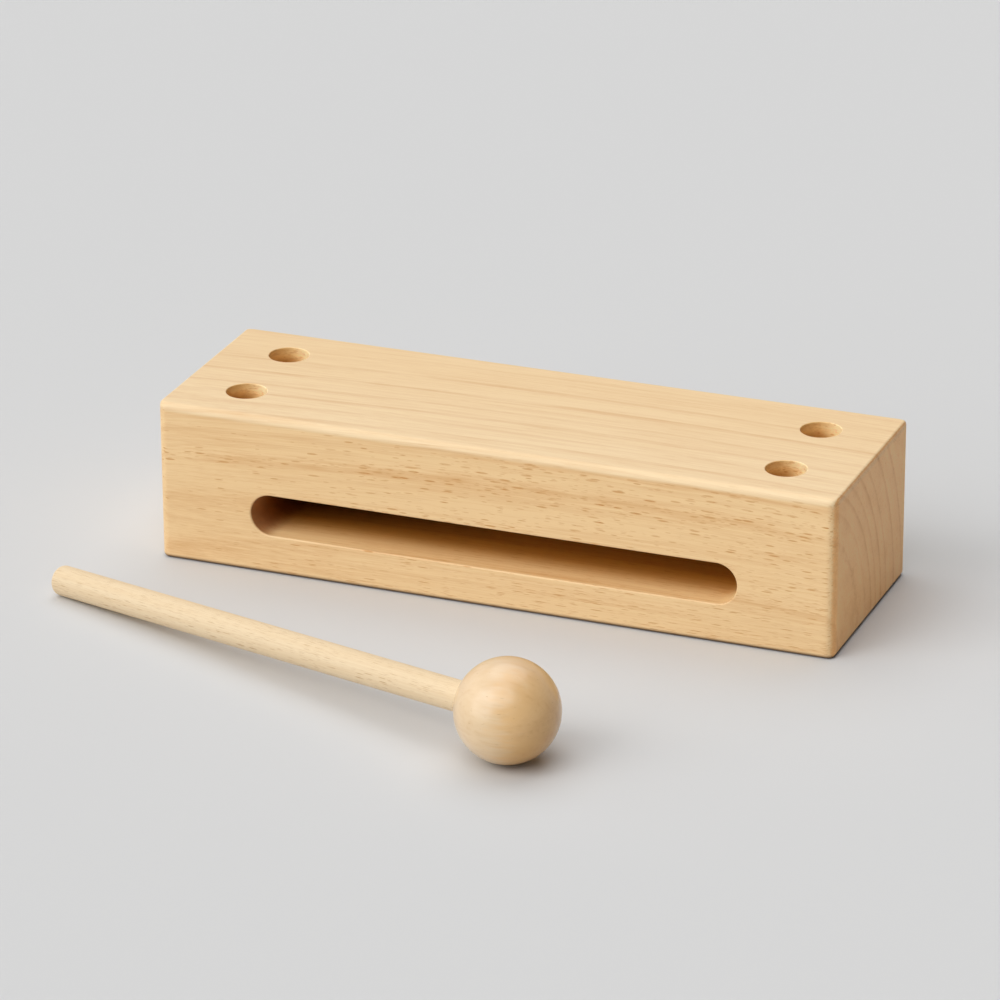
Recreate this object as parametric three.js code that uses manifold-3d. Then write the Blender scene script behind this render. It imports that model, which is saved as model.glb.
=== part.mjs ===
// Tone block of solid beech with its mallet, in millimetres, +Z up.
// The origin is the middle of the block's underside. The block lies along X, its slot opens
// towards -Y, and the four holes are drilled down into its top.
// The mallet lies in front of the block, on the rim of its ball and the end of its handle.

import * as THREE from 'three';
import { mergeVertices } from 'three/addons/utils/BufferGeometryUtils.js';
import Module from 'manifold-3d';

// Block
const blockLength = 200;
const blockDepth = 64;
const blockHeight = 47;
const topEdgeRadius = 2.6; // along the top's front and back
const bottomEdgeRadius = 2.2; // along the underside's front and back
const uprightEdgeRadius = 2.8; // the four upright edges
const endTopRadius = 0.9; // across the ends, above
const endBottomRadius = 1.9; // across the ends, below

// Resonance slot, routed into the front face
const slotHeight = 12;
const slotFloorWall = 11.6; // wood under the slot
const slotEndWall = 28; // wood at each end of the slot
const slotBackWall = 14; // wood behind the slot
const slotArris = 0.5; // broken edge of its mouth

// Holes in the top
const holeDiameter = 11.5;
const holeDepth = 20; // to the shoulder of the drill's point
const holeFromEnd = 20;
const holeSpacing = 30; // from the front pair to the back pair
const holeArris = 0.3;

// Mallet
const headDiameter = 28;
const socketRim = 0.5; // width of the small flat round the socket's mouth
const socketDepth = 17; // from that flat to the shoulder of the drill's point
const handleDiameter = 8.5;
const handleReach = 151.8; // free length, from the head to the rounded end
const handleEndRadius = 1.6;
const handleTipChamfer = 0.8;
const glueGap = 0.2; // between the handle and its socket

// Where the mallet lies: the ball's middle, and how far the handle turns from +X
const headFromBlock = 89.5;
const headFromMiddle = 40.7;
const handleTurn = THREE.MathUtils.degToRad(160.2);

// Shop values
const drillPointAngle = THREE.MathUtils.degToRad(118);
const overrun = 5; // how far a cutter or an outline runs outside the wood
const roundEdgeSteps = 5;
const slotEndSteps = 24;
const holeSteps = 40;
const headSteps = 56;
const headRings = 30;
const handleSteps = 32;

const beechBlock = new THREE.MeshStandardMaterial({ color: 0xe6c08d, roughness: 0.55, metalness: 0 });
const beechHandle = new THREE.MeshStandardMaterial({ color: 0xf0d6b0, roughness: 0.5, metalness: 0 });
const beechHead = new THREE.MeshStandardMaterial({ color: 0xe8c697, roughness: 0.45, metalness: 0 });

const wasm = await Module();
wasm.setup();

// Turns a closed geometry into a solid that can be joined and cut
function toSolid(geometry) {
  const bare = geometry.clone();
  bare.deleteAttribute('normal');
  bare.deleteAttribute('uv');
  const merged = mergeVertices(bare);
  return new wasm.Manifold(new wasm.Mesh({
    numProp: 3,
    vertProperties: merged.attributes.position.array,
    triVerts: Uint32Array.from(merged.index.array),
  }));
}

function toGeometry(solid) {
  const mesh = solid.getMesh();
  const geometry = new THREE.BufferGeometry();
  geometry.setAttribute('position', new THREE.BufferAttribute(mesh.vertProperties, mesh.numProp));
  geometry.setIndex(new THREE.BufferAttribute(mesh.triVerts, 1));
  geometry.computeVertexNormals();
  return geometry;
}

const alongX = new THREE.Vector3(1, 0, 0);
const alongY = new THREE.Vector3(0, 1, 0);
const alongZ = new THREE.Vector3(0, 0, 1);

// A rectangle that stands on the middle of its lower side
function roundedOutline(width, height, lowerRadius, upperRadius) {
  const outline = new THREE.Shape();
  const side = width / 2;
  outline.absarc(side - lowerRadius, lowerRadius, lowerRadius, -Math.PI / 2, 0, false);
  outline.absarc(side - upperRadius, height - upperRadius, upperRadius, 0, Math.PI / 2, false);
  outline.absarc(upperRadius - side, height - upperRadius, upperRadius, Math.PI / 2, Math.PI, false);
  outline.absarc(lowerRadius - side, lowerRadius, lowerRadius, Math.PI, Math.PI * 1.5, false);
  outline.closePath();
  return outline;
}

function roundEnded(length, height) {
  const outline = new THREE.Shape();
  const radius = height / 2;
  const reach = length / 2 - radius;
  outline.absarc(reach, 0, radius, -Math.PI / 2, Math.PI / 2, false);
  outline.absarc(-reach, 0, radius, Math.PI / 2, Math.PI * 1.5, false);
  outline.closePath();
  return outline;
}

// An outline extruded through the whole block, past both of its faces
function prism(outline, length) {
  const solid = new THREE.ExtrudeGeometry(outline, {
    depth: length + 2 * overrun,
    bevelEnabled: false,
    curveSegments: roundEdgeSteps,
  });
  solid.translate(0, 0, -length / 2 - overrun);
  return solid;
}

// The planed blank is what its section, its side view and its plan have in common,
// so each run of edges keeps its own rounding
function blockBlank() {
  const section = prism(
    roundedOutline(blockDepth, blockHeight, bottomEdgeRadius, topEdgeRadius),
    blockLength,
  );
  section.applyMatrix4(new THREE.Matrix4().makeBasis(alongY, alongZ, alongX));
  const sideView = prism(
    roundedOutline(blockLength, blockHeight, endBottomRadius, endTopRadius),
    blockDepth,
  );
  sideView.applyMatrix4(new THREE.Matrix4().makeBasis(alongX, alongZ, alongY.clone().negate()));
  const plan = prism(
    roundedOutline(blockLength, blockDepth, uprightEdgeRadius, uprightEdgeRadius),
    blockHeight,
  );
  plan.translate(0, -blockDepth / 2, blockHeight / 2);
  return toSolid(section).intersect(toSolid(sideView)).intersect(toSolid(plan));
}

// The slot's cutter enters from the front, and its flared collar breaks the mouth's edge
function slotCutter() {
  const slotLength = blockLength - 2 * slotEndWall;
  const outline = roundEnded(slotLength, slotHeight);
  const frontFace = -blockDepth / 2;
  const backWall = blockDepth / 2 - slotBackWall;
  const middleHeight = slotFloorWall + slotHeight / 2;
  const towardsFront = new THREE.Matrix4().makeBasis(alongX, alongZ, alongY.clone().negate());

  const pocket = new THREE.ExtrudeGeometry(outline, {
    depth: backWall - frontFace + overrun,
    bevelEnabled: false,
    curveSegments: slotEndSteps,
  });
  pocket.applyMatrix4(towardsFront);
  pocket.translate(0, backWall, middleHeight);

  const collar = new THREE.ExtrudeGeometry(outline, {
    depth: overrun,
    bevelThickness: slotArris,
    bevelSize: slotArris,
    bevelSegments: 1,
    curveSegments: slotEndSteps,
  });
  collar.applyMatrix4(towardsFront);
  collar.translate(0, frontFace, middleHeight);
  return toSolid(pocket).add(toSolid(collar));
}

// A drill with its pointed end at the bottom and a countersink for the rim, about Z
function holeCutter(radius, depth, arris) {
  const pointLength = radius / Math.tan(drillPointAngle / 2);
  const profile = [
    new THREE.Vector2(0, -depth - pointLength),
    new THREE.Vector2(radius, -depth),
    new THREE.Vector2(radius, -arris),
    new THREE.Vector2(radius + arris, 0),
    new THREE.Vector2(radius + arris, overrun),
    new THREE.Vector2(0, overrun),
  ];
  const drill = new THREE.LatheGeometry(profile, holeSteps);
  drill.rotateX(Math.PI / 2);
  return drill;
}

function blockBody() {
  let body = blockBlank().subtract(slotCutter());
  for (const end of [-1, 1]) {
    for (const side of [-1, 1]) {
      const drill = holeCutter(holeDiameter / 2, holeDepth, holeArris);
      drill.translate(end * (blockLength / 2 - holeFromEnd), side * holeSpacing / 2, blockHeight);
      body = body.subtract(toSolid(drill));
    }
  }
  return toGeometry(body);
}

// The mallet's own frame has the ball's middle at its origin and the handle along its Y axis
const headRadius = headDiameter / 2;
const handleRadius = handleDiameter / 2;
const socketRadius = handleRadius + glueGap;
const socketFlat = Math.sqrt(headRadius ** 2 - (socketRadius + socketRim) ** 2);
const socketShoulder = socketFlat - socketDepth;

// A turned ball with a small flat face where the handle's socket is drilled
function malletHead() {
  const profile = [];
  const flatAngle = Math.acos(socketFlat / headRadius);
  for (let ring = 0; ring <= headRings; ring++) {
    const angle = (Math.PI - flatAngle) * ring / headRings;
    profile.push(new THREE.Vector2(headRadius * Math.sin(angle), -headRadius * Math.cos(angle)));
  }
  profile[0].x = 0;
  const pointLength = socketRadius / Math.tan(drillPointAngle / 2);
  profile.push(new THREE.Vector2(socketRadius, socketFlat));
  profile.push(new THREE.Vector2(socketRadius, socketShoulder));
  profile.push(new THREE.Vector2(0, socketShoulder - pointLength));
  return new THREE.LatheGeometry(profile, headSteps);
}

// A dowel with a chamfered tip in the socket and a rounded free end
function malletHandle() {
  const tip = socketShoulder + glueGap;
  const freeEnd = headRadius + handleReach;
  const endRadius = Math.min(handleEndRadius, handleRadius);
  const profile = [
    new THREE.Vector2(0, tip),
    new THREE.Vector2(handleRadius - handleTipChamfer, tip),
    new THREE.Vector2(handleRadius, tip + handleTipChamfer),
  ];
  for (let step = 0; step <= roundEdgeSteps; step++) {
    const angle = Math.PI / 2 * step / roundEdgeSteps;
    profile.push(new THREE.Vector2(
      handleRadius - endRadius + endRadius * Math.cos(angle),
      freeEnd - endRadius + endRadius * Math.sin(angle),
    ));
  }
  profile.push(new THREE.Vector2(0, freeEnd));
  return new THREE.LatheGeometry(profile, handleSteps);
}

// How far the handle dips from level, so that its rounded end and the ball both touch the ground
function handleDip() {
  const endRadius = Math.min(handleEndRadius, handleRadius);
  const along = headRadius + handleReach - endRadius;
  const across = handleRadius - endRadius;
  const drop = Math.asin((headRadius - endRadius) / Math.hypot(along, across));
  return drop - Math.atan2(across, along);
}

const toneBlock = new THREE.Group();

const block = new THREE.Mesh(blockBody(), beechBlock);
block.name = 'block_body';
toneBlock.add(block);

const mallet = new THREE.Group();
const head = new THREE.Mesh(malletHead(), beechHead);
head.name = 'mallet_head';
const handle = new THREE.Mesh(malletHandle(), beechHandle);
handle.name = 'mallet_handle';
mallet.add(head, handle);

// Lays the mallet's Y axis down along X, dips it and swings it round the ball
mallet.rotation.set(0, 0, -Math.PI / 2 - handleDip());
const swing = new THREE.Group();
swing.rotation.set(Math.PI / 2, 0, 0);
swing.add(mallet);
const placed = new THREE.Group();
placed.rotation.z = handleTurn;
placed.position.set(headFromMiddle, -blockDepth / 2 - headFromBlock, headRadius);
placed.add(swing);
toneBlock.add(placed);

export default toneBlock;
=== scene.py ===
import math
import bmesh
import bpy
from mathutils import Matrix, Vector


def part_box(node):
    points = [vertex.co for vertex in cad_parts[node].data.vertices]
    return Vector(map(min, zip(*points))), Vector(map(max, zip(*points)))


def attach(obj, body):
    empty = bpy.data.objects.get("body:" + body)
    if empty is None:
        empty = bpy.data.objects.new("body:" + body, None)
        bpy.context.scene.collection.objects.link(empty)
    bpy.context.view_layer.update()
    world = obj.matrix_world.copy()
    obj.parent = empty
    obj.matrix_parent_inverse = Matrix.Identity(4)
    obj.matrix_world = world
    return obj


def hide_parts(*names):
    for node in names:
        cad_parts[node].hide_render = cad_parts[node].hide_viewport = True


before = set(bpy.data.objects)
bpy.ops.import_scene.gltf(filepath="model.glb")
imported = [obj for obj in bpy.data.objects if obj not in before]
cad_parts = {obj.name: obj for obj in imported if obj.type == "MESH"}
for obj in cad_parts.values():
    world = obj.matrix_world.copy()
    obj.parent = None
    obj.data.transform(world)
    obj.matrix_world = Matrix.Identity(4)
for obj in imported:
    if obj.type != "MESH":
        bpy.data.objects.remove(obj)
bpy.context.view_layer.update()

mm = 0.001
bpy.context.scene.view_settings.view_transform = "Standard"


class Wire:  # a socket that can stand in a sum
    def __init__(self, finish, socket):
        self.finish = finish
        self.socket = socket

    def __add__(self, other):
        return self.finish.maths("ADD", self, other)

    def __sub__(self, other):
        return self.finish.maths("SUBTRACT", self, other)

    def __rsub__(self, other):
        return self.finish.maths("SUBTRACT", other, self)

    def __mul__(self, other):
        return self.finish.maths("MULTIPLY", self, other)

    def __truediv__(self, other):
        return self.finish.maths("DIVIDE", self, other)

    def __rtruediv__(self, other):
        return self.finish.maths("DIVIDE", other, self)

    def __pow__(self, other):
        return self.finish.maths("POWER", self, other)

    def __abs__(self):
        return self.finish.maths("ABSOLUTE", self)

    __radd__ = __add__
    __rmul__ = __mul__


class Finish:  # the nodes of one material, or of the world
    def __init__(self, owner):
        self.owner = owner
        owner.use_nodes = True
        self.tree = owner.node_tree
        self.tree.nodes.clear()

    def add(self, kind, settings=None, sockets=None, output=0):
        node = self.tree.nodes.new(kind)
        for key, value in (settings or {}).items():
            if key == "stops":
                self.setStops(node.color_ramp, value)
            else:
                setattr(node, key, value)
        for key, value in (sockets or {}).items():
            if isinstance(value, Wire):
                self.tree.links.new(value.socket, node.inputs[key])
            else:
                node.inputs[key].default_value = value
        return Wire(self, node.outputs[output]) if node.outputs else None

    def setStops(self, ramp, stops):  # each stop: its place and how light its grey is
        while len(ramp.elements) < len(stops):
            ramp.elements.new(0.5)
        for stop, (place, shade) in zip(ramp.elements, stops):
            stop.position = place
            stop.color = (shade, shade, shade, 1)

    def twin(self, wire, output):  # another output of the same node
        return Wire(self, wire.socket.node.outputs[output])

    def maths(self, operation, *values):
        return self.add("ShaderNodeMath", {"operation": operation}, dict(enumerate(values)))

    def vectors(self, operation, *values, output=0):
        return self.add("ShaderNodeVectorMath", {"operation": operation}, dict(enumerate(values)), output)

    def mix(self, amount, one, two, blend="MIX"):  # of colours, so their sockets go by number
        return self.add("ShaderNodeMix", {"data_type": "RGBA", "blend_type": blend},
                        {0: amount, 6: one, 7: two}, output=2)

    def split(self, vector):
        first = self.add("ShaderNodeSeparateXYZ", None, {0: vector})
        return first, self.twin(first, "Y"), self.twin(first, "Z")

    def join(self, x, y, z):
        return self.add("ShaderNodeCombineXYZ", None, {0: x, 1: y, 2: z})

    def stretched(self, place, sizes):  # a place counted in sizes
        return self.vectors("DIVIDE", place, sizes)

    def noise(self, place, sizes, seed, detail=2, roughness=0.5, output=0):
        return self.add("ShaderNodeTexNoise", {"noise_dimensions": "4D"},
                        {"Vector": self.stretched(place, sizes), "W": seed, "Scale": 1, "Detail": detail,
                         "Roughness": roughness}, output)

    def step(self, value, low, high):  # rises smoothly from 0 to 1
        return self.add("ShaderNodeMapRange", {"interpolation_type": "SMOOTHSTEP"},
                        {"Value": value, "From Min": low, "From Max": high})

    def fall(self, value, low, high):  # falls smoothly from 1 to 0
        return 1 - self.step(value, low, high)

    def relief(self, look, height):  # the wood's fine unevenness
        return self.add("ShaderNodeBump", None, {"Strength": look["relief"],
                                                 "Distance": look["reliefDeep"] * mm, "Height": height})

    def surface(self, settings):
        shader = self.add("ShaderNodeBsdfPrincipled", None, settings)
        self.add("ShaderNodeOutputMaterial", None, {"Surface": shader})
        return self.owner


def newFinish(name):
    return Finish(bpy.data.materials.new(name))


def between(pair, mask):  # the first value where the mask is 0, the second where it is 1
    return pair[0] + (pair[1] - pair[0]) * mask


def lofted(name, rings, merge=1e-4):  # a closed skin through rings of points, in mm
    skin = bmesh.new()
    loops = [[skin.verts.new(Vector(point) * mm) for point in ring] for ring in rings]
    count = len(rings[0])
    for near, far in zip(loops, loops[1:]):
        for k in range(count):
            skin.faces.new((near[k], near[(k + 1) % count], far[(k + 1) % count], far[k]))
    for loop in (loops[0], loops[-1]):
        if (loop[0].co - loop[count // 2].co).length > merge * mm:
            skin.faces.new(loop)
    bmesh.ops.remove_doubles(skin, verts=skin.verts, dist=merge * mm)
    bmesh.ops.recalc_face_normals(skin, faces=skin.faces)
    mesh = bpy.data.meshes.new(name)
    skin.to_mesh(mesh)
    skin.free()
    return mesh


def arc(fromAngle, toAngle, steps):
    return [math.radians(fromAngle + (toAngle - fromAngle) * k / steps) for k in range(steps + 1)]


def turned(name, profile, steps):  # a shape turned about X, from (along, radius) points
    return lofted(name, [[(x, r * math.cos(a), r * math.sin(a)) for a in arc(0, 360, steps)[:-1]]
                         for x, r in profile])


def addObject(name, mesh):
    thing = bpy.data.objects.new(name, mesh)
    bpy.context.scene.collection.objects.link(thing)
    return thing


def applied(thing):  # works its modifiers into its mesh
    bpy.context.view_layer.update()
    mesh = bpy.data.meshes.new_from_object(thing.evaluated_get(bpy.context.evaluated_depsgraph_get()))
    thing.modifiers.clear()
    thing.data = mesh


def smoothed(thing, sharpAngle=38):
    thing.data.shade_smooth()
    thing.data.set_sharp_from_angle(angle=math.radians(sharpAngle))
    weighted = thing.modifiers.new("weighted", "WEIGHTED_NORMAL")
    weighted.keep_sharp = True
    applied(thing)


def finished(piece, material, body, node):
    piece.data.materials.clear()
    piece.data.materials.append(material)
    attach(piece, body)
    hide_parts(node)


camera = {"lens": 199.2, "sensor": 36, "clipStart": 0.05, "azimuth": 21.534, "elevation": 22.788,
          "distance": 1526.0, "aim": (0.65, -25.68, 30.0), "roll": -0.0045}


def makeCamera():
    a, e = math.radians(camera["azimuth"]), math.radians(camera["elevation"])
    back = Vector((math.sin(a) * math.cos(e), -math.cos(a) * math.cos(e), math.sin(e)))
    right = Vector((math.cos(a), math.sin(a), 0))
    up = back.cross(right)
    roll = camera["roll"]
    sideways = right * math.cos(roll) + up * math.sin(roll)
    upwards = up * math.cos(roll) - right * math.sin(roll)
    data = bpy.data.cameras.new("camera")
    data.lens = camera["lens"]
    data.sensor_width = camera["sensor"]
    data.clip_start = camera["clipStart"]
    eye = addObject("camera", data)
    turn = Matrix((sideways, upwards, back)).transposed().to_4x4()
    stand = Vector(camera["aim"]) + back * camera["distance"]
    eye.matrix_world = Matrix.Translation(stand * mm) @ turn
    bpy.context.scene.camera = eye
    print("camera made")


studio = {"floorColour": (0.656, 0.656, 0.656, 1), "floorRoughness": 0.9, "floorSpecular": 0.2,
          "floorSize": 12.0, "background": 0.68, "ambient": 0.03,
          # each lamp: its name and strength, and in degrees how wide it looks, how far left and how high
          "lamps": (("window", 1.24, 54, 42, 22), ("front", 1.18, 50, 0, 55), ("overhead", 1.36, 60, 160, 68),
                    ("side", 0.31, 50, 90, 35), ("softbox", 0.3, 26, 46, 48))}


def makeFloor():
    half = studio["floorSize"] / 2
    corners = ((-half, -half, 0), (half, -half, 0), (half, half, 0), (-half, half, 0))
    sheet = bmesh.new()
    sheet.faces.new([sheet.verts.new(corner) for corner in corners])
    mesh = bpy.data.meshes.new("floor")
    sheet.to_mesh(mesh)
    sheet.free()
    floor = addObject("floor", mesh)
    mesh.materials.append(newFinish("floorPaper").surface(
        {"Base Color": studio["floorColour"], "Roughness": studio["floorRoughness"],
         "Specular IOR Level": studio["floorSpecular"]}))


def makeAir():  # pale to the camera and in reflections, and nearly dark as a light
    air = Finish(bpy.data.worlds.new("studio"))
    bpy.context.scene.world = air.owner
    seen = air.add("ShaderNodeLightPath")
    seen = air.maths("MAXIMUM", seen, air.twin(seen, "Is Glossy Ray"))
    fill = air.add("ShaderNodeBackground", None, {"Color": (1, 1, 1, 1), "Strength": studio["ambient"]})
    wall = air.add("ShaderNodeBackground", None, {"Color": (*[studio["background"]] * 3, 1)})
    both = air.add("ShaderNodeMixShader", None, {0: seen, 1: fill, 2: wall})
    air.add("ShaderNodeOutputWorld", None, {"Surface": both})


def makeStudio():
    makeFloor()
    makeAir()
    for name, strength, spread, left, high in studio["lamps"]:
        left, high = math.radians(left), math.radians(high)
        towards = Vector((-math.sin(left) * math.cos(high), -math.cos(left) * math.cos(high), math.sin(high)))
        lamp = bpy.data.lights.new(name, "SUN")
        lamp.energy = strength
        lamp.angle = math.radians(spread)
        hung = addObject(name, lamp)
        hung.rotation_mode = "QUATERNION"
        hung.rotation_quaternion = towards.to_track_quat("Z", "Y")
    print("studio made")


# How beech looks anywhere, with lengths in mm
beech = {"drift": (95, 32, 32), "grainCurve": 60, "ringStart": 0.06,
         "ragged": (1.6, 0.5, 0.5), "raggedDetail": 3, "raggedRoughness": 0.65, "raggedBy": 0.7,
         "fleckShift": (3.7, 1.9, 2.3), "fleckSizes": (0.55, 1.05), "fleckEdge": (0.55, 1),
         "fleckChance": 0.05, "fleckDepths": (0.35, 1)}


def grainSpace(wood, tree, centre, turn):  # along the grain, out from the pith and round it
    place = wood.add("ShaderNodeMapping", {"vector_type": "TEXTURE"},
                     {"Vector": wood.add("ShaderNodeTexCoord", output="Object"), "Location": centre,
                      "Rotation": turn.to_euler(), "Scale": (mm, mm, mm)})
    drift = wood.noise(place, beech["drift"], tree["seed"], output="Color")
    drift = wood.vectors("SUBTRACT", drift, (0.5, 0.5, 0.5))
    drift = wood.vectors("MULTIPLY", drift, (0, tree["wander"], tree["wander"]))
    x, y, z = wood.split(wood.vectors("ADD", place, drift))
    y = y - tree["pith"][0]
    z = z - tree["pith"][1]
    swell, slope, bow = tree["sweep"]
    outward = (y * y + z * z) ** 0.5 - (swell + x * slope + x * x * bow)
    around = wood.maths("ARCTAN2", z, y) * beech["grainCurve"]
    return place, wood.join(x, outward, around), outward


def grainNoises(wood, space, tree):
    return {name: wood.noise(space, *noise) for name, noise in tree["noises"].items()}


def ringLines(wood, outward, tree):  # each ring darkens slowly outwards and ends in a line
    low, high = tree["span"]
    stops = []
    for radius, strength, before, after in tree["rings"]:
        line = ((radius - before, beech["ringStart"] * strength), (radius, strength), (radius + after, 0))
        stops += [((place - low) / (high - low), shade) for place, shade in line]
    return wood.add("ShaderNodeValToRGB", {"stops": stops}, {0: (outward - low) / (high - low)})


def flecks(wood, space, share, long, wide, cell, seed):  # the short brown rays of beech
    shifted = wood.vectors("ADD", space, [seed * shift for shift in beech["fleckShift"]])
    near = wood.add("ShaderNodeTexVoronoi", {"voronoi_dimensions": "3D", "feature": "F1"},
                    {"Vector": wood.stretched(shifted, (cell * long / wide, cell, cell)), "Scale": 1})
    chance, size, depth = wood.split(wood.twin(near, "Color"))
    reach = wide / 2 / cell * between(beech["fleckSizes"], size)
    body = wood.fall(near / reach, *beech["fleckEdge"])
    chosen = wood.step(share - chance, 0, beech["fleckChance"])
    return body * chosen * between(beech["fleckDepths"], depth)


def endFacing(wood, space, turn, low, high, seed):  # where the grain is cut across, ragged at its edge
    normal = wood.add("ShaderNodeTexCoord", output="Normal")
    across = abs(wood.vectors("DOT_PRODUCT", normal, turn.col[0], output="Value"))
    ragged = wood.noise(space, beech["ragged"], seed, beech["raggedDetail"], beech["raggedRoughness"]) - 0.5
    return wood.step(across + ragged * beech["raggedBy"], low, high)


blockBeech = {
    # the tree's middle in Y and Z, how its rings bend along X, and the radii between which they are drawn
    "seed": 3.1, "pith": (-55.3, -2.1), "sweep": (1.5, 0.0165, -0.000315), "wander": 1.5, "span": (20, 100),
    # each ring: its radius and strength, how far before it the darkening starts, and after it stops
    "rings": ((27.0, 0.5, 1.6, 0.6), (35.2, 0.12, 1.6, 0.9), (44.0, 0.35, 1.5, 1.0), (51.2, 0.4, 1.8, 0.6),
              (56.2, 0.7, 1.3, 0.6), (60.4, 0.5, 1.1, 0.5), (64.9, 0.8, 1.2, 0.6), (69.5, 0.6, 1.1, 0.5),
              (76.4, 0.8, 1.4, 0.6), (83.6, 0.7, 1.4, 0.6)),
    # each noise: its sizes along the grain, outwards and round it, its seed, detail and roughness
    "noises": {"zones": ((120, 5, 9), 1.7), "streaks": ((42, 0.8, 1.3), 8.3, 3, 0.6),
               "fibres": ((14, 0.22, 0.34), 2.9, 2, 0.6), "patches": ((24, 4, 4), 6.4, 3),
               "breaks": ((16, 1.2, 2), 3.8, 3), "mottle": ((40, 7, 11), 12.5),
               "crowds": ((45, 7, 7), 4.4), "clouds": ((4, 9, 1.1), 9.9, 3)},
    "scores": ((1.6, 1.6, 0.55), 10.3),  # what the drill left in the holes
    # from which value each mask counts and from which in full, and for the end grain a seed
    "patchy": (0.3, 0.66), "broken": (0.38, 0.66), "crowded": (0.42, 0.62), "scored": (0.5, 0.68),
    "endGrain": (0.5, 0.9, 5.2), "borderStart": (0.5, 0.75, 7.4), "borderEnd": (0.88, 0.99, 7.4),
    # how much each of these darkens the wood
    "base": 0.12, "zones": 0.6, "streaks": 1.0, "fibres": 0.8, "lines": 0.7, "bandDepth": 0.24, "mottle": 0.6,
    "patchesOnEnd": 0.6,  # how much of the ends has ring lines at least
    "band": 44.0, "bandHalf": (0.665, 2.565),  # the dark band's ring, and half its width in full and faded
    # pairs of shares: elsewhere, and on the place that the name ends in
    "streaksOnEnd": (1, 0.25), "grainOnTop": (1, 0.85), "linesOnTop": (1, 0.8), "linesOnEnd": (1, 1.1),
    "linesInPatches": (0.3, 1), "endInClouds": (0.8, 1.2), "borderOnTop": (0.45, 1),
    "flecksInCrowds": (0.5, 1), "flecksOnTop": (1, 0.14), "flecksOnEnd": (1, 0.2), "flecksInSlot": (1, 0.5),
    "longFlecks": (4.6, 0.74, 0.9, 1.0), "shortFlecks": (2.6, 0.45, 0.6, 2.0),  # long, wide, cell and seed
    "shortShare": 0.6, "flecks": 0.92, "flecksInBand": 0.8, "fleckDepth": 0.64,
    "flecksAlong": (0.15, 1), "flecksFromTo": (-95, 0),  # fewer at the left end than from the middle on
    "narrowing": (1, 2.3), "narrowedBack": (1, 3),  # how much flecks narrow, and how near the back face
    # from where to where each look changes: down from the top, in from the front, in from an end
    "top": (1.5, 2.7), "topSheenFades": (-30, 30), "crestDown": (0.1, 0.9), "crestIn": (2, 3), "rightEnd": (4, 6),
    "slotMouth": (0.2, 0.8), "pastSlot": (1, 2), "slotShadeDepths": (3, 17), "slotLeftShadow": (-70, -64),
    "footUp": (0.2, 1.6), "footIn": (0.9, 1.4), "pastBore": (0.05, 0.25), "boreLitSide": (-5, 5),
    "boreDown": (1.5, 4.5), "boreShade": (-3, 3.5),
    "hiddenIn": (8, 28), "hiddenAcross": (-60, 10), "hiddenShare": (0.4, 1),  # painted shadow, darkest deep in on the left
    "pale": (0.935, 0.66, 0.35, 1), "deep": (0.685, 0.35, 0.12, 1), "fleck": (0.545, 0.2, 0.015, 1),
    # painted sheen: the top is tinted paler and bluer at its front and dimmer at its back
    "topSheenTint": (0.935, 0.99, 1.1, 1), "topBackSheenTint": (0.9, 0.915, 0.945, 1),
    # a painted highlight along the top front rounding, then a painted contact shade along the bottom rims
    "crestTint": (1.03, 1.06, 1.09, 1), "footTint": (0.12, 0.07, 0.03, 1),
    "endTint": (1.13, 0.93, 0.69, 1), "borderTint": (0.78, 0.62, 0.46, 1),
    # painted light at the slot's mouth that turns into painted shade deeper in
    "slotMouthLightTint": (1.07, 1.06, 1.0, 1), "slotShadeTint": (0.81, 0.6, 0.205, 1),
    # painted shadow deep in the slot on the left and on its left end wall
    "hiddenTint": (0.33, 0.27, 0.18, 1), "slotLeftShadowTint": (0.5, 0.33, 0.25, 1),
    # inside the holes: the bored wood's own warmer colour, with painted shade on the left walls, painted
    # light on the right walls and painted shade deep in on the left
    "boreOwnAndShadeTint": (1.08, 0.97, 0.7, 1), "boreOwnAndLightTint": (1.34, 1.53, 1.62, 1),
    "boreDeepTint": (0.55, 0.42, 0.28, 1), "scoredDepth": 0.5,
    "roughness": 0.46, "roughStreaks": 0.12, "roughFlecks": 0.15, "specular": 0.46,
    "relief": 0.35, "reliefDeep": 0.04, "reliefFibres": 0.5, "reliefStreaks": 0.3, "reliefFlecks": 0.4,
}


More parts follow.
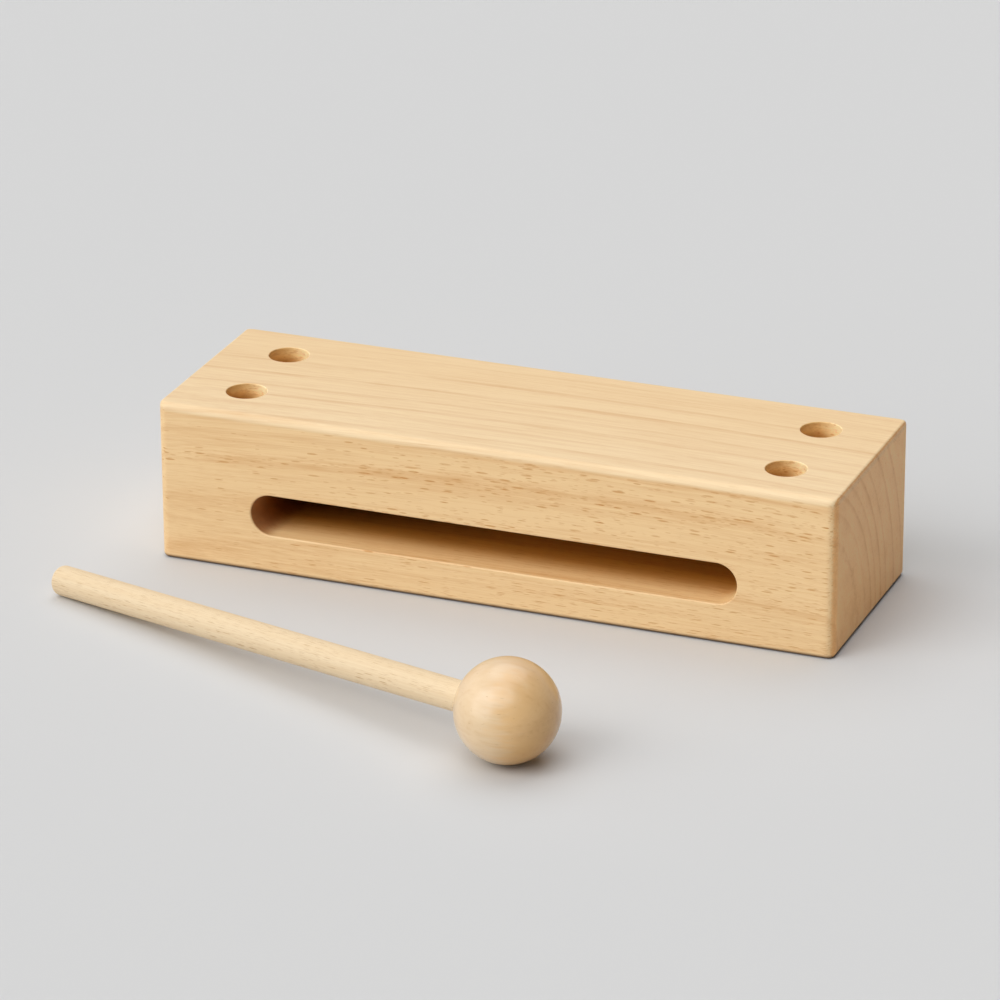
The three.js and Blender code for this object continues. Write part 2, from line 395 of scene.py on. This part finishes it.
def blockPlaces(wood, place, space, turn, size):  # masks of where the block looks different, several of them where light and shade are painted
    look = blockBeech
    x, y, z = wood.split(place)
    below = size["height"] - z
    deeper = y + size["depth"] / 2
    places = {"top": wood.fall(below, *look["top"])}
    places["endGrain"] = endFacing(wood, space, turn, *look["endGrain"])
    # a painted highlight runs along the top front rounding
    crest = wood.step(below, *look["crestDown"]) * wood.fall(deeper, *look["crestIn"])
    places["crest"] = places["top"] * crest
    places["rightEnd"] = wood.fall(size["length"] / 2 - x, *look["rightEnd"])
    border = endFacing(wood, space, turn, *look["borderStart"])
    border = border * (1 - endFacing(wood, space, turn, *look["borderEnd"]))
    places["border"] = border * places["rightEnd"] * between(look["borderOnTop"], places["top"])

    near, far = look["pastSlot"]
    floor = block["slotFloorWall"]
    roof = floor + block["slotHeight"]
    reach = size["length"] / 2 - block["slotEndWall"]
    back = size["depth"] - block["slotBackWall"]
    inside = wood.fall(abs(x), reach + near, reach + far) * wood.fall(z, roof + near, roof + far)
    inside = inside * wood.step(z, floor - far, floor - near) * wood.step(deeper, *look["slotMouth"])
    inside = inside * wood.fall(deeper, back + near, back + far)
    # painted shadow deep in the slot, darkest on the left and on its left end wall
    hidden = inside * between(look["hiddenShare"], wood.fall(x, *look["hiddenAcross"]))
    places["inside"] = inside
    # the slot's painted light at the mouth turns into painted shade deeper in
    places["insideTurns"] = wood.step(deeper, *look["slotShadeDepths"])
    places["hidden"] = hidden * wood.step(deeper, *look["hiddenIn"])
    places["slotLeftShadow"] = inside * wood.fall(x, *look["slotLeftShadow"])

    # painted contact shade: the bottom rims darken where the block meets the floor
    rims = [wood.fall(size[name] / 2 - abs(across), *look["footIn"])
            for across, name in ((x, "length"), (y, "depth"))]
    places["foot"] = wood.fall(z, *look["footUp"]) * wood.maths("MAXIMUM", *rims)

    acrossHole = x - wood.maths("SIGN", x) * block["holeAt"]
    fromHole = (acrossHole ** 2 + (abs(y) - block["holeSpacing"] / 2) ** 2) ** 0.5
    bored = wood.fall(fromHole - block["holeWide"] / 2, *look["pastBore"])
    places["bored"] = bored
    # inside each hole a painted light on its right wall and painted shade on its left wall, darkest deep in
    places["boreLitSide"] = wood.step(acrossHole, *look["boreLitSide"])
    shaded = wood.step(below, *look["boreDown"]) * wood.fall(acrossHole, *look["boreShade"])
    places["boreDeep"] = bored * shaded
    # where the top's painted sheen fades from its front to its back
    places["topSheenFades"] = wood.step(y, *look["topSheenFades"])
    places["alongFlecks"] = wood.step(x, *look["flecksFromTo"])
    places["back"] = wood.fall(size["depth"] / 2 - y, *look["narrowedBack"])
    return places


def blockGrain(wood, noises, places, outward, band):  # the wood's colour before any fleck or tint
    look = blockBeech
    onTop, endGrain = places["top"], places["endGrain"]
    streaks = (noises["streaks"] - 0.5) * look["streaks"] * between(look["streaksOnEnd"], endGrain)
    fibres = (noises["fibres"] - 0.5) * look["fibres"] * (1 - endGrain)
    depth = (noises["zones"] - 0.5) * look["zones"] + streaks + fibres + look["base"]
    patchy = wood.step(noises["patches"], *look["patchy"])
    patchy = wood.maths("MAXIMUM", patchy, endGrain * look["patchesOnEnd"])
    lines = look["lines"] * between(look["linesOnTop"], onTop) * between(look["linesOnEnd"], endGrain)
    rings = ringLines(wood, outward, look) * between(look["linesInPatches"], patchy) * lines
    depth = depth * between(look["grainOnTop"], onTop) + rings
    depth = depth + band * wood.step(noises["breaks"], *look["broken"]) * look["bandDepth"]
    depth = depth + (noises["mottle"] - 0.5) * endGrain * look["mottle"]
    return wood.mix(depth, look["pale"], look["deep"])


def blockFlecks(wood, space, noises, places, band):
    look = blockBeech
    share = look["flecks"] * between(look["flecksInCrowds"], wood.step(noises["crowds"], *look["crowded"]))
    share = share * between(look["flecksAlong"], places["alongFlecks"]) + look["flecksInBand"] * band
    # far from the pith the rays' cells are wider, so the back narrows them
    narrowed = wood.join(1, 1, between(look["narrowing"], places["back"]))
    rays = wood.vectors("MULTIPLY", space, narrowed)
    marks = flecks(wood, rays, share, *look["longFlecks"])
    marks = marks + flecks(wood, rays, share, *look["shortFlecks"]) * look["shortShare"]
    for name, where in (("flecksOnTop", "top"), ("flecksOnEnd", "endGrain"), ("flecksInSlot", "inside")):
        marks = marks * between(look[name], places[where])
    return marks


def makeBlockFinish(size):
    look = blockBeech
    wood = newFinish("blockBeech")
    straight = Matrix.Identity(3)
    place, space, outward = grainSpace(wood, look, (0, 0, 0), straight)
    noises = grainNoises(wood, space, look)
    places = blockPlaces(wood, place, space, straight, size)
    band = wood.fall(abs(outward - look["band"]), *look["bandHalf"])
    base = blockGrain(wood, noises, places, outward, band)
    marks = blockFlecks(wood, space, noises, places, band)
    base = wood.mix(marks * look["fleckDepth"], base, look["fleck"])

    rightEnd = places["endGrain"] * places["rightEnd"] * between(look["endInClouds"], noises["clouds"])
    # the end grain's tint is the wood's own; the top, crest, slot, foot and hole tints paint light and shade,
    # the holes' partly over their own warmer colour
    tintsAndPaintedLight = ((places["top"], wood.mix(places["topSheenFades"], look["topSheenTint"], look["topBackSheenTint"])),
             (places["crest"], look["crestTint"]), (rightEnd, look["endTint"]),
             (places["border"], look["borderTint"]),
             (places["inside"], wood.mix(places["insideTurns"], look["slotMouthLightTint"], look["slotShadeTint"])),
             (places["hidden"], look["hiddenTint"]), (places["slotLeftShadow"], look["slotLeftShadowTint"]),
             (places["foot"], look["footTint"]),
             (places["bored"], wood.mix(places["boreLitSide"], look["boreOwnAndShadeTint"], look["boreOwnAndLightTint"])),
             (places["boreDeep"], look["boreDeepTint"]))
    for mask, tint in tintsAndPaintedLight:
        base = wood.mix(mask, base, tint, "MULTIPLY")
    scored = wood.step(wood.noise(place, *look["scores"]), *look["scored"])
    base = wood.mix(scored * places["bored"] * look["scoredDepth"], base, look["deep"])

    height = noises["fibres"] * look["reliefFibres"] + noises["streaks"] * look["reliefStreaks"]
    relief = wood.relief(look, height - marks * look["reliefFlecks"])
    rough = look["roughness"] + (noises["streaks"] - 0.5) * look["roughStreaks"] + marks * look["roughFlecks"]
    return wood.surface({"Base Color": base, "Roughness": rough, "Normal": relief,
                         "Specular IOR Level": look["specular"]})


block = {"topEdge": 2.3, "bottomEdge": 1.5, "uprightEdge": 2.8, "endTop": 0.9, "endBottom": 1.9,
         "leastEdge": 0.45, "edgeSteps": 10,
         "slotHeight": 12.0, "slotFloorWall": 11.6, "slotEndWall": 28.0, "slotBackWall": 14.0,
         "slotArris": 0.5, "slotSteps": 40,
         "holeWide": 11.5, "holeDeep": 20.0, "holeAt": 80.0, "holeSpacing": 30.0, "drillPoint": 118,
         "holeArris": 0.3, "holeSteps": 96, "arrisSteps": 4, "overrun": 5.0}


def fallAway(radius, fromEnd):  # how far a rounding has left the face, so far from the end
    return 0 if fromEnd >= radius else radius - math.sqrt(radius ** 2 - (radius - fromEnd) ** 2)


def blockSection(fromEnd, x, size):
    inset = fallAway(block["uprightEdge"], fromEnd)
    halfDepth, halfHeight = size["depth"] / 2, size["height"] / 2
    ring = []
    for quarter, (side, top) in enumerate(((1, 1), (-1, 1), (-1, -1), (1, -1))):
        long, across = ("topEdge", "endTop") if top > 0 else ("bottomEdge", "endBottom")
        drop = fallAway(block[across], fromEnd)
        radius = max(block[long] - (inset + drop) / 2, block["leastEdge"])
        for a in arc(90 * quarter, 90 * quarter + 90, block["edgeSteps"]):
            ring.append((x, side * (halfDepth - inset - radius) + radius * math.cos(a),
                         halfHeight + top * (halfHeight - drop - radius) + radius * math.sin(a)))
    return ring


def makeBlank(size):
    half = size["length"] / 2
    endEdges = [block[name] for name in ("uprightEdge", "endTop", "endBottom")]
    turns = arc(0, 90, block["edgeSteps"])
    spots = sorted({round(radius * (1 - math.sin(a)), 4) for radius in endEdges for a in turns})
    rings = [blockSection(spot, spot - half, size) for spot in spots]
    rings += [blockSection(spot, half - spot, size) for spot in spots[::-1]]
    return lofted("blockBlank", rings)


def mouth(arris, outside):  # how far a cutter flares, from outside the wood to its straight part
    steps = [(0, arris)] + [(arris - arris * math.cos(a), arris - arris * math.sin(a))
                            for a in arc(0, 90, block["arrisSteps"])][1:]
    return [(-outside, arris)] + steps


def makeSlotCutter(size):
    radius = block["slotHeight"] / 2
    reach = size["length"] / 2 - block["slotEndWall"] - radius
    middle = block["slotFloorWall"] + radius
    bottom = (size["depth"] - block["slotBackWall"], 0)
    turns = [(side, a) for side, start in ((1, -90), (-1, 90))
             for a in arc(start, start + 180, block["slotSteps"])]
    rings = []
    for deep, flare in mouth(block["slotArris"], block["overrun"]) + [bottom]:
        rings.append([(side * reach + (radius + flare) * math.cos(a), deep - size["depth"] / 2,
                       middle + (radius + flare) * math.sin(a)) for side, a in turns])
    return lofted("slotCutter", rings)


def makeDrill(x, y, height):
    radius = block["holeWide"] / 2
    point = radius / math.tan(math.radians(block["drillPoint"] / 2))
    rings = []
    for down, flare in mouth(block["holeArris"], block["overrun"]) + [(block["holeDeep"], 0)]:
        rings.append([(x + (radius + flare) * math.cos(a), y + (radius + flare) * math.sin(a), height - down)
                      for a in arc(0, 360, block["holeSteps"])[:-1]])
    rings.append([(x, y, height - block["holeDeep"] - point)] * block["holeSteps"])
    return lofted("drill", rings)


def makeBlock():
    lowest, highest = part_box("block_body")
    size = dict(zip(("length", "depth", "height"), (highest - lowest) / mm))
    body = addObject("toneBlock", makeBlank(size))
    cutters = [makeSlotCutter(size)]
    for end in (-1, 1):
        for side in (-1, 1):
            cutters.append(makeDrill(end * block["holeAt"], side * block["holeSpacing"] / 2, size["height"]))
    for mesh in cutters:
        cutter = addObject("cutter", mesh)
        cut = body.modifiers.new("cut", "BOOLEAN")
        cut.object = cutter
        cut.solver = "EXACT"
        applied(body)
        bpy.data.objects.remove(cutter)
    smoothed(body)
    finished(body, makeBlockFinish(size), "block", "block_body")
    print("block made:", len(body.data.polygons), "faces")


# towardsHandle and longerBy: how far the ball and the handle's free end depart from the plain ones
mallet = {"ball": 28.4, "towardsHandle": 0.5, "longerBy": 0.6, "ballRings": 72, "ballSteps": 128,
          "socketRim": 0.12, "rimSteps": 6, "socketDeep": 6.0, "gap": 0.03,
          "endRound": 1.6, "endSteps": 8, "handleSteps": 72, "ballGrain": (0.101, -0.992, 0.035)}


def malletPlace():  # the ball's middle, and a frame whose X runs out along the handle
    lowest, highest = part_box("mallet_head")
    radius = (highest.y - lowest.y) / 2
    centre = Vector((highest.x - radius, (lowest.y + highest.y) / 2, highest.z - radius))
    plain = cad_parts["mallet_handle"].data
    corners = sorted({tuple(round(c, 6) for c in v.co) for v in plain.vertices})  # each corner once
    middle = sum((Vector(corner) for corner in corners), Vector()) / len(corners)
    along = (middle - centre).normalized()
    sideways = Vector((0, 0, 1)).cross(along).normalized()
    turn = Matrix((along, sideways, along.cross(sideways))).transposed()
    spots = [turn.transposed() @ (Vector(corner) - centre) / mm for corner in corners]
    handleRadius = max(math.hypot(s.y, s.z) for s in spots)
    freeEnd = centre + along * max(s.x for s in spots) * mm
    freeEnd.xy += along.xy.normalized() * mallet["longerBy"] * mm
    centre = centre + along * mallet["towardsHandle"] * mm
    centre.z = mallet["ball"] / 2 * mm
    along = (freeEnd - centre).normalized()
    turn = Matrix((along, sideways, along.cross(sideways))).transposed()
    return centre, turn, (freeEnd - centre).length / mm, handleRadius


ballBeech = {
    "seed": 7.7, "pith": (34.0, 3.0), "sweep": (0, 0, 0), "wander": 1.6, "span": (18, 40),
    "rings": [(radius, 0.7, 0.8, 0.4)
              for radius in (20.8, 22.1, 23.5, 24.9, 26.4, 28.0, 29.8, 31.7, 33.9, 36.4)],
    "noises": {"zones": ((16, 4, 6), 2.2), "streaks": ((14, 0.8, 1.2), 3.3, 3, 0.6),
               "patches": ((8, 3, 3), 5.4), "edges": ((7, 3, 5), 6.6)},
    "patchy": (0.45, 0.7), "endGrain": (0.7, 1.05, 2.5),
    "base": 0.06, "zones": 0.8, "streaks": 0.3, "lines": 0.36, "endDepth": 0.2,
    "pale": (0.82, 0.605, 0.365, 1), "deep": (0.64, 0.385, 0.165, 1), "fleck": (0.42, 0.2, 0.07, 1),
    "flecks": (0.3, 1.4, 0.4, 1.1, 4.0), "fleckDepth": 0.6,  # share, long, wide, cell and seed
    # painted shade: the ball's half away from the lamps is tinted browner
    "paintedShadeHalf": (1.03, 0.88, 0.64, 1), "paintedShadeFromTo": (-4, 7), "paintedShadeRagged": 14,
    # each tint: its side, from and to where on that side it comes in, and its colour; all three are painted
    # shade, on the top, over the highlight at its very top, and on the lower side away from the lamps
    "tintsAndPaintedLight": (((0, 0, 1), (2, 11), (0.955, 0.95, 0.96, 1)),
              ((0, 0, 1), (12.4, 13.8), (0.95, 0.92, 0.87, 1)),
              ((0.76, 0, -0.65), (4, 13), (0.85, 0.75, 0.52, 1))),
    "roughness": 0.36, "roughStreaks": 0.1, "specular": 0.35, "coat": 0.9, "coatRoughness": 0.25,
    "relief": 0.3, "reliefDeep": 0.03, "reliefFlecks": 0.6,
}


def makeBallFinish(centre, turn):
    look = ballBeech
    wood = newFinish("ballBeech")
    place, space, outward = grainSpace(wood, look, centre, turn)
    noises = grainNoises(wood, space, look)
    streaks = noises["streaks"] - 0.5
    rings = ringLines(wood, outward, look) * wood.step(noises["patches"], *look["patchy"]) * look["lines"]
    depth = (noises["zones"] - 0.5) * look["zones"] + streaks * look["streaks"] + rings
    depth = depth + endFacing(wood, space, turn, *look["endGrain"]) * look["endDepth"] + look["base"]
    base = wood.mix(depth, look["pale"], look["deep"])
    # painted shade on the ball's half away from the lamps, with a ragged edge
    along = wood.split(place)[0] + (noises["edges"] - 0.5) * look["paintedShadeRagged"]
    base = wood.mix(wood.step(along, *look["paintedShadeFromTo"]), base, look["paintedShadeHalf"], "MULTIPLY")
    fromCentre = wood.vectors("SUBTRACT", wood.add("ShaderNodeTexCoord", output="Object"), centre)
    # painted shade on the top, over the highlight at the very top and on the lower side away from the lamps
    for side, fromTo, tint in look["tintsAndPaintedLight"]:
        towards = wood.vectors("DOT_PRODUCT", fromCentre, side, output="Value") / mm
        base = wood.mix(wood.step(towards, *fromTo), base, tint, "MULTIPLY")
    marks = flecks(wood, space, *look["flecks"])
    base = wood.mix(marks * look["fleckDepth"], base, look["fleck"])
    relief = wood.relief(look, noises["streaks"] - marks * look["reliefFlecks"])
    return wood.surface({"Base Color": base, "Roughness": look["roughness"] + streaks * look["roughStreaks"],
                         "Normal": relief, "Specular IOR Level": look["specular"],
                         "Coat Weight": look["coat"], "Coat Roughness": look["coatRoughness"]})


handleBeech = {
    "seed": 4.1, "pith": (7.0, 16.0), "sweep": (0, 0.004, 0), "wander": 0.8, "span": (8, 30),
    "rings": ((13.2, 0.4, 1.2, 0.4), (15.6, 0.6, 1.2, 0.4), (17.4, 0.5, 1.2, 0.4), (19.9, 0.6, 1.2, 0.4)),
    "noises": {"streaks": ((34, 0.5, 0.7), 1.3, 3, 0.6), "fibres": ((9, 0.2, 0.25), 7.3, 2, 0.6)},
    "endGrain": (0.6, 0.95, 6.1),
    "base": 0.1, "streaks": 1.2, "fibres": 0.7, "lines": 0.3, "endDepth": 0.3,
    "pale": (0.82, 0.655, 0.44, 1), "deep": (0.68, 0.47, 0.25, 1), "fleck": (0.45, 0.24, 0.08, 1),
    "longFlecks": (0.75, 4.2, 0.5, 0.6, 5.0), "shortFlecks": (0.8, 2.6, 0.36, 0.5, 9.0),
    "shortShare": 0.6, "fleckDepth": 0.6,
    "roughness": 0.6, "roughStreaks": 0.1, "specular": 0.15,
    "relief": 0.35, "reliefDeep": 0.04, "reliefFibres": 0.4, "reliefStreaks": 0.4, "reliefFlecks": 0.8,
}


def makeHandleFinish(centre, turn):
    look = handleBeech
    wood = newFinish("handleBeech")
    place, space, outward = grainSpace(wood, look, centre, turn)
    noises = grainNoises(wood, space, look)
    streaks = noises["streaks"] - 0.5
    depth = streaks * look["streaks"] + (noises["fibres"] - 0.5) * look["fibres"] + look["base"]
    depth = depth + ringLines(wood, outward, look) * look["lines"]
    depth = depth + endFacing(wood, space, turn, *look["endGrain"]) * look["endDepth"]
    base = wood.mix(depth, look["pale"], look["deep"])
    marks = flecks(wood, space, *look["longFlecks"])
    marks = marks + look["shortShare"] * flecks(wood, space, *look["shortFlecks"])
    base = wood.mix(marks * look["fleckDepth"], base, look["fleck"])
    height = noises["fibres"] * look["reliefFibres"] + noises["streaks"] * look["reliefStreaks"]
    relief = wood.relief(look, height - marks * look["reliefFlecks"])
    return wood.surface({"Base Color": base, "Roughness": look["roughness"] + streaks * look["roughStreaks"],
                         "Normal": relief, "Specular IOR Level": look["specular"]})


def makeMallet():
    centre, turn, reach, handleRadius = malletPlace()
    radius = mallet["ball"] / 2
    hole = handleRadius + mallet["gap"]
    rim = mallet["socketRim"]
    # the rim rolls from the ball's surface into the socket
    rimAlong = math.sqrt((radius - rim) ** 2 - (hole + rim) ** 2)
    touch = math.degrees(math.atan2(hole + rim, rimAlong))
    profile = [(-radius * math.cos(a), radius * math.sin(a))
               for a in arc(0, 180 - touch, mallet["ballRings"])]
    profile += [(rimAlong + rim * math.cos(a), hole + rim + rim * math.sin(a))
                for a in arc(touch, -90, mallet["rimSteps"])[1:]]
    profile = profile[:-1] + [(rimAlong, hole), (rimAlong - mallet["socketDeep"], hole),
                              (rimAlong - mallet["socketDeep"], 0)]
    ball = addObject("malletBall", turned("malletBall", profile, mallet["ballSteps"]))
    ball.data.transform(Matrix.Translation(centre) @ turn.to_4x4())
    smoothed(ball)

    # the ball's grain crosses the handle at a slant
    layers = Vector(mallet["ballGrain"]).normalized()
    fibre = Vector((0, 0, 1)).cross(layers).normalized()
    grain = Matrix((fibre, layers, fibre.cross(layers))).transposed()
    finished(ball, makeBallFinish(centre, grain), "mallet", "mallet_head")

    end = mallet["endRound"]
    start = rimAlong - mallet["socketDeep"] + mallet["gap"]
    profile = [(start, 0), (start, handleRadius)]
    profile += [(reach - end + end * math.sin(a), handleRadius - end + end * math.cos(a))
                for a in arc(0, 90, mallet["endSteps"])] + [(reach, 0)]
    handle = addObject("malletHandle", turned("malletHandle", profile, mallet["handleSteps"]))
    handle.data.transform(Matrix.Translation(centre) @ turn.to_4x4())
    smoothed(handle)
    finished(handle, makeHandleFinish(centre, turn), "mallet", "mallet_handle")
    print("mallet made: handle reaches", round(reach, 2), "mm, radius", round(handleRadius, 3), "mm")


makeCamera()
makeStudio()
makeBlock()
makeMallet()
